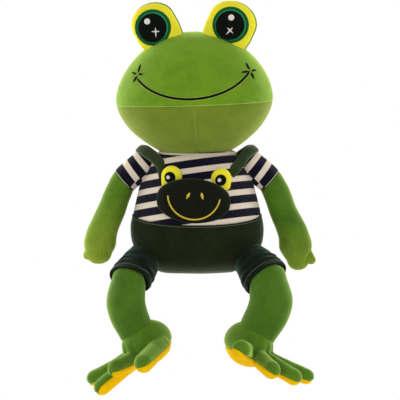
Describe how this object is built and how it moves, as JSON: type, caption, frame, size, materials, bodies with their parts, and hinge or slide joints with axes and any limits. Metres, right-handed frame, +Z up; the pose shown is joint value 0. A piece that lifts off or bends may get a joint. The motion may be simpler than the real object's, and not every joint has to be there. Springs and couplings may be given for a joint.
{
  "type": "plush frog",
  "caption": "Seated stuffed frog in a striped shirt and bib shorts, with a big head, pod eyes, hanging legs and splayed toes.",
  "frame": {"origin": "middle of the flat seat under the shorts", "axes": "+Z up, the frog looks along -Y, and its own left side is +X"},
  "size_m": [0.3481, 0.2767, 0.564],
  "materials": {
    "green_velour": "short-pile velour, satin sheen at the rim",
    "dark_green_velour": "short-pile velour, dark",
    "yellow_velour": "short-pile velour",
    "striped_jersey": "navy and cream knitted stripes, matt",
    "neckband_jersey": "cream ribbed knit, matt",
    "dark_green_satin": "satin stitch with a lighter line",
    "black_satin": "satin stitch embroidery",
    "yellow_satin": "satin stitch embroidery",
    "filling": "loose polyester fibre"
  },
  "bodies": {
    "torso": {"shirt_skin": "striped_jersey", "shorts_seat_skin": "dark_green_velour", "torso_stuffing": "filling", "neckband": "neckband_jersey", "bib_skin": "dark_green_velour", "bib_stuffing": "filling", "bib_smile": "yellow_satin", "strap_right": "dark_green_velour", "bib_eye_right": "yellow_velour", "bib_pupil_right": "black_satin", "strap_left": "dark_green_velour", "bib_eye_left": "yellow_velour", "bib_pupil_left": "black_satin"},
    "head": {"head_crown_skin": "green_velour", "head_jaw_skin": "green_velour", "head_stuffing": "filling", "smile_embroidery": "black_satin", "eye_front_right": "yellow_velour", "eye_back_right": "green_velour", "eye_stuffing_right": "filling", "iris_right": "dark_green_satin", "pupil_right": "black_satin", "eye_front_left": "yellow_velour", "eye_back_left": "green_velour", "eye_stuffing_left": "filling", "iris_left": "dark_green_satin", "pupil_left": "black_satin"},
    "arm_right": {"sleeve_right": "striped_jersey", "arm_skin_right": "green_velour", "arm_stuffing_right": "filling"},
    "thigh_right": {"shorts_leg_right": "dark_green_velour", "thigh_stuffing_right": "filling"},
    "shin_right": {"shin_skin_right": "green_velour", "shin_stuffing_right": "filling"},
    "foot_right": {"foot_skin_right": "green_velour", "foot_stuffing_right": "filling", "foot_sole_right": "yellow_velour"},
    "arm_left": {"sleeve_left": "striped_jersey", "arm_skin_left": "green_velour", "arm_stuffing_left": "filling"},
    "thigh_left": {"shorts_leg_left": "dark_green_velour", "thigh_stuffing_left": "filling"},
    "shin_left": {"shin_skin_left": "green_velour", "shin_stuffing_left": "filling"},
    "foot_left": {"foot_skin_left": "green_velour", "foot_stuffing_left": "filling", "foot_sole_left": "yellow_velour"}
  },
  "joints": [
    {"name": "neck_turn", "type": "hinge", "parent": "torso", "child": "head", "pos_m": [0, 0, 0.1813], "axis": [0, 0, 1], "range_deg": [-25, 25]},
    {"name": "shoulder_swing_right", "type": "hinge", "parent": "torso", "child": "arm_right", "pos_m": [-0.0803, 0, 0.16], "axis": [-1, 0, 0], "range_deg": [-30, 80]},
    {"name": "hip_swing_right", "type": "hinge", "parent": "torso", "child": "thigh_right", "pos_m": [-0.07651, -0.02653, 0.024], "axis": [-1, 0, 0], "range_deg": [-15, 35]},
    {"name": "knee_bend_right", "type": "hinge", "parent": "thigh_right", "child": "shin_right", "pos_m": [-0.09851, -0.09353, 0.001], "axis": [-1, 0, 0], "range_deg": [-15, 45]},
    {"name": "ankle_bend_right", "type": "hinge", "parent": "shin_right", "child": "foot_right", "pos_m": [-0.09001, -0.08953, -0.074], "axis": [-1, 0, 0], "range_deg": [-15, 15]},
    {"name": "shoulder_swing_left", "type": "hinge", "parent": "torso", "child": "arm_left", "pos_m": [0.0803, 0, 0.16], "axis": [-1, 0, 0], "range_deg": [-30, 80]},
    {"name": "hip_swing_left", "type": "hinge", "parent": "torso", "child": "thigh_left", "pos_m": [0.07651, -0.02653, 0.024], "axis": [-1, 0, 0], "range_deg": [-15, 35]},
    {"name": "knee_bend_left", "type": "hinge", "parent": "thigh_left", "child": "shin_left", "pos_m": [0.10251, -0.09353, 0.001], "axis": [-1, 0, 0], "range_deg": [-15, 45]},
    {"name": "ankle_bend_left", "type": "hinge", "parent": "shin_left", "child": "foot_left", "pos_m": [0.09001, -0.08953, -0.074], "axis": [-1, 0, 0], "range_deg": [-15, 15]}
  ]
}
